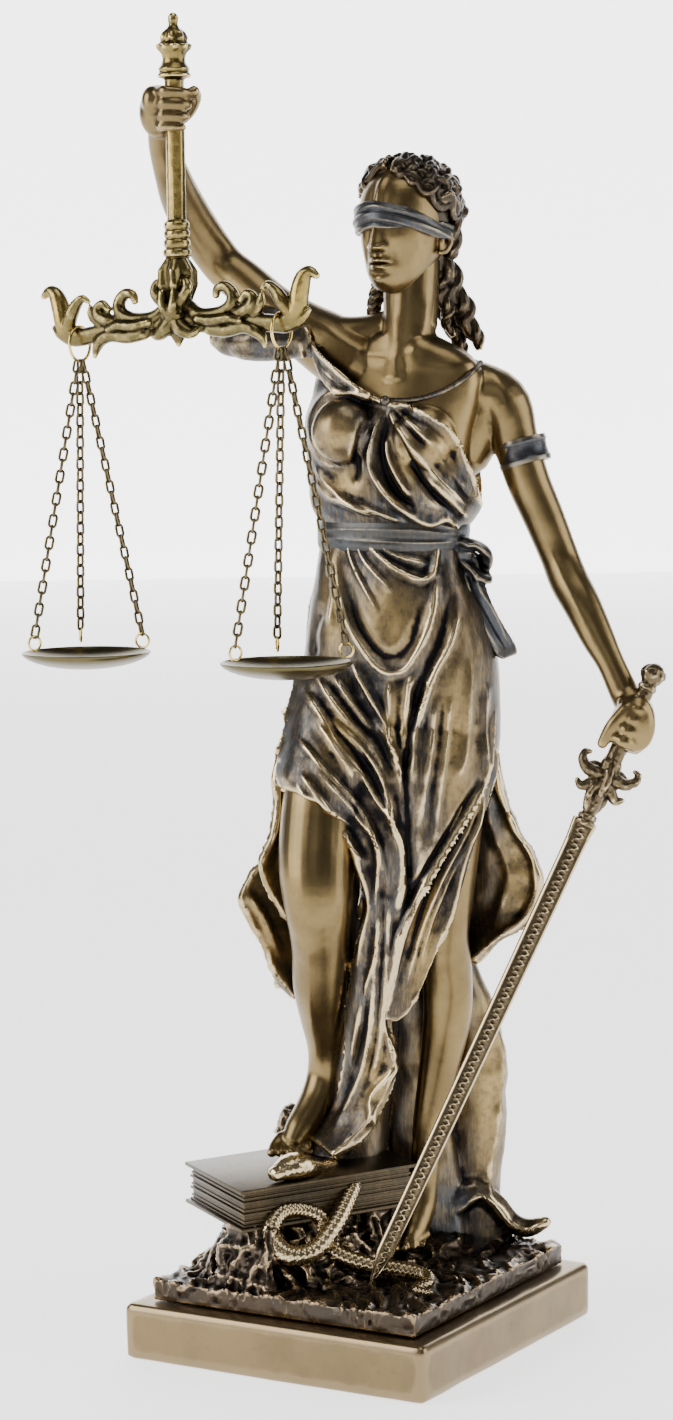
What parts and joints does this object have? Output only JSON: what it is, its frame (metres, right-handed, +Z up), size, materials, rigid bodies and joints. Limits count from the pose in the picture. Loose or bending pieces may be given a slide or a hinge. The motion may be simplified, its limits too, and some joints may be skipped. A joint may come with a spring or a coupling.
{
  "type": "lady justice statuette",
  "caption": "Standing figure of justice, blindfolded, holding up a pair of hanging scales and a lowered sword, with one foot on a book and a snake, on a square plinth.",
  "frame": {"origin": "centre of the plinth's underside", "axes": "+Z up along the statuette's height, +X and +Y along the plinth's sides; the figure faces between -Y and +X"},
  "size_m": [0.1467, 0.085, 0.3158],
  "materials": {
    "figure_bronze": "antiqued bronze, dark in the folds and rubbed bright on the ridges",
    "plinth_bronze": "satin bronze, mottled, with rubbed edges",
    "antiqued_brass": "antiqued yellow brass with dark recesses",
    "bright_brass": "bright brass wire",
    "dark_wire": "dark bronze wire"
  },
  "bodies": {
    "root": {"plinth": "plinth_bronze", "figure": "figure_bronze", "sword": "figure_bronze", "scale_beam": "antiqued_brass", "beam_ring_right": "bright_brass", "chain_right_1": "dark_wire", "pan_ring_right_1": "bright_brass", "chain_right_2": "dark_wire", "pan_ring_right_2": "bright_brass", "chain_right_3": "dark_wire", "pan_ring_right_3": "bright_brass", "pan_right": "antiqued_brass", "beam_ring_left": "bright_brass", "chain_left_1": "dark_wire", "pan_ring_left_1": "bright_brass", "chain_left_2": "dark_wire", "pan_ring_left_2": "bright_brass", "chain_left_3": "dark_wire", "pan_ring_left_3": "bright_brass", "pan_left": "antiqued_brass"}
  },
  "joints": []
}
